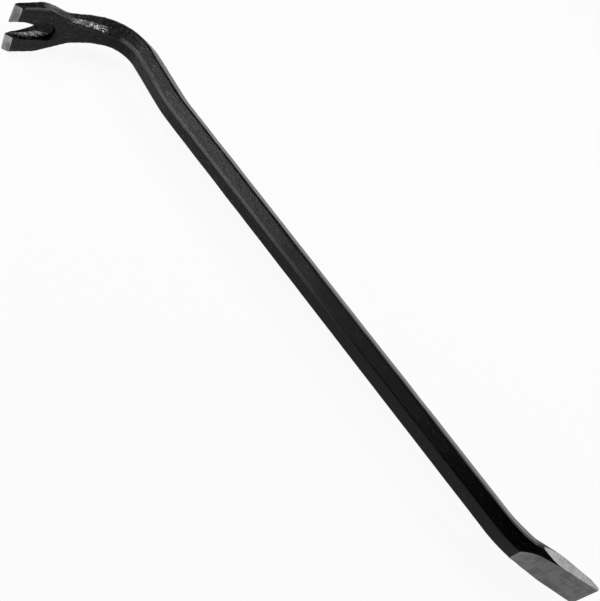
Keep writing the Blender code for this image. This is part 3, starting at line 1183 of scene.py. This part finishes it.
@dataclass(frozen=True)
class Softbox:
    """A square soft light aimed at the middle of the bar."""

    azimuth: float
    elevation: float
    power: float
    size: float = 0.6
    distance: float = 1.4

    def build(self, name: str, target: Vector) -> None:
        """Hangs the light. Its azimuth is counted from +X towards +Y, in degrees.

        Args:
            name: the light's name.
            target: the point that it is aimed at.
        """
        around, up = math.radians(self.azimuth), math.radians(self.elevation)
        way = Vector((math.cos(up) * math.cos(around), math.cos(up) * math.sin(around), math.sin(up)))
        data = bpy.data.lights.new(name, "AREA")
        data.shape = "SQUARE"
        data.size = self.size
        data.energy = self.power
        lamp = bpy.data.objects.new(name, data)
        lamp.location = target + way * self.distance
        lamp.rotation_euler = way.to_track_quat("Z", "Y").to_euler()
        bpy.context.scene.collection.objects.link(lamp)


@dataclass
class Studio:
    """The pale cove that the bar lies in, its soft lights, and the camera."""

    radius: float = 2.6
    cove: float = 1.0
    wall_height: float = 0.2
    hub_radius: float = 0.05
    floor_rings: int = 11
    cove_steps: int = 16
    turn_steps: int = 96
    floor_gap: float = 0.1 * MM
    pale: Colour = (0.9, 0.9, 0.9, 1.0)
    white: Colour = (1.0, 1.0, 1.0, 1.0)
    white_share: float = 0.92
    sky: Colour = (0.0, 0.0, 0.0, 1.0)
    lights: tuple[Softbox, ...] = (
        Softbox(66, 42, 6.0),
        Softbox(100, 42, 3.0, size=0.35),
        Softbox(195, 42, 3.3),
        Softbox(200, 55, 1.75, size=0.35),
        Softbox(210, 57, 4.2),
        Softbox(240, 75, 1.25),
    )
    camera_place: Sizes = mm(146.81, -460.10, 484.93)
    camera_target: Sizes = mm(4.50, 12.26, 22.70)
    camera_roll: float = 40.72
    sensor_width: float = 36.0
    picture_width: float = 600.0
    focal_pixels: float = 864.98

    def backdrop_material(self) -> bpy.types.Material:
        """Pale paint that looks nearly white to the camera and in reflections, and takes the shadow.

        Returns:
            The material.
        """
        paint = Shader("pale_backdrop")
        rays = paint.add("ShaderNodeLightPath", {}, {}).outputs
        seen = Value(paint, rays["Is Camera Ray"]) + Value(paint, rays["Is Glossy Ray"])
        seen = seen + Value(paint, rays["Is Transmission Ray"])
        paint.set(Base_Color=self.pale, Roughness=1.0, Specular_IOR_Level=0.0)
        glow = paint.add("ShaderNodeEmission", {}, {"Color": self.white, "Strength": 1.0})
        layers = {0: seen * self.white_share, 1: paint.surface.outputs[0], 2: glow.outputs[0]}
        both = paint.add("ShaderNodeMixShader", {}, layers)
        paint.put(paint.tree.nodes["Material Output"].inputs["Surface"], both.outputs[0])
        return paint.material

    def backdrop(self) -> bpy.types.Object:
        """The floor, a quarter-round cove and an upright wall, as one bowl turned about Z.

        The cove is the arc of radius cove: its radius grows with the sine and its height with 1 minus the
        cosine of the angle turned. Each point of the profile is turned through evenly spaced angles.

        Returns:
            The backdrop's object.
        """
        turn = np.linspace(0.0, math.pi / 2, self.cove_steps + 1)
        floor_r = np.geomspace(self.hub_radius, self.radius - self.cove, self.floor_rings + 1)[:-1]
        cove_r = self.radius - self.cove + self.cove * np.sin(turn)
        cove_z = self.cove * (1 - np.cos(turn))
        radii = np.concatenate([floor_r, cove_r, [self.radius]])
        heights = np.concatenate([np.zeros_like(floor_r), cove_z, [self.cove + self.wall_height]])
        heights -= self.floor_gap
        angles = np.linspace(0.0, 2 * math.pi, self.turn_steps + 1)[:-1]
        x = radii[:, None] * np.cos(angles)
        y = radii[:, None] * np.sin(angles)
        z = np.broadcast_to(heights[:, None], x.shape)
        middle = np.array([[0.0, 0.0, -self.floor_gap]])
        points = np.concatenate([np.stack([x, y, z], axis=2).reshape(-1, 3), middle])
        index = np.arange(x.size).reshape(x.shape)
        a, b = index[:-1], index[1:]
        quads = np.stack([a, b, np.roll(b, -1, axis=1), np.roll(a, -1, axis=1)], axis=2).reshape(-1, 4)
        hub = np.full(len(angles), x.size)
        fan = np.stack([hub, index[0], np.roll(index[0], -1)], axis=1)
        data = bpy.data.meshes.new("backdrop")
        data.from_pydata(points.tolist(), [], quads.tolist() + fan.tolist())
        data.shade_smooth()
        data.materials.append(self.backdrop_material())
        made = bpy.data.objects.new("backdrop", data)
        bpy.context.scene.collection.objects.link(made)
        return made

    def world(self) -> None:
        """A black sky above the cove, so that all the light comes from the cove and the softboxes."""
        sky = bpy.data.worlds.new("studio_sky")
        sky.use_nodes = True
        sky.node_tree.nodes["Background"].inputs["Color"].default_value = self.sky
        bpy.context.scene.world = sky

    def camera(self) -> None:
        """The photograph's camera: its place, its aim, its roll and its focal length."""
        place, target = Vector(self.camera_place), Vector(self.camera_target)
        data = bpy.data.cameras.new("camera")
        data.sensor_fit = "HORIZONTAL"
        data.sensor_width = self.sensor_width
        data.lens = self.focal_pixels / self.picture_width * self.sensor_width
        made = bpy.data.objects.new("camera", data)
        made.location = place
        level = (target - place).to_track_quat("-Z", "Y").to_matrix()
        made.rotation_euler = (level @ Matrix.Rotation(math.radians(self.camera_roll), 3, "Z")).to_euler()
        bpy.context.scene.collection.objects.link(made)
        bpy.context.scene.camera = made

    def build(self) -> None:
        """Sets up the cove, the lights, the camera and plain colours."""
        self.camera()
        self.backdrop()
        self.world()
        for number, light in enumerate(self.lights, start=1):
            light.build(f"softbox_{number}", Vector(self.camera_target))
        bpy.context.scene.view_settings.view_transform = "Standard"


def corners(box: tuple[Vector, Vector]) -> list[list[float]]:
    """A box's two corners as plain lists."""
    return [[float(x) for x in corner] for corner in box]


def main() -> None:
    """Builds the studio and the crowbar, and reports each piece."""
    logging.basicConfig(level=logging.INFO, format="%(name)s: %(message)s")
    studio = Studio()
    studio.build()
    log.info("studio: cove, %d softboxes and camera", len(studio.lights))
    body = Forging().build()
    log.info("%s: %d vertices, %d faces", body.name, len(body.data.vertices), len(body.data.polygons))


if __name__ == "__main__":
    main()
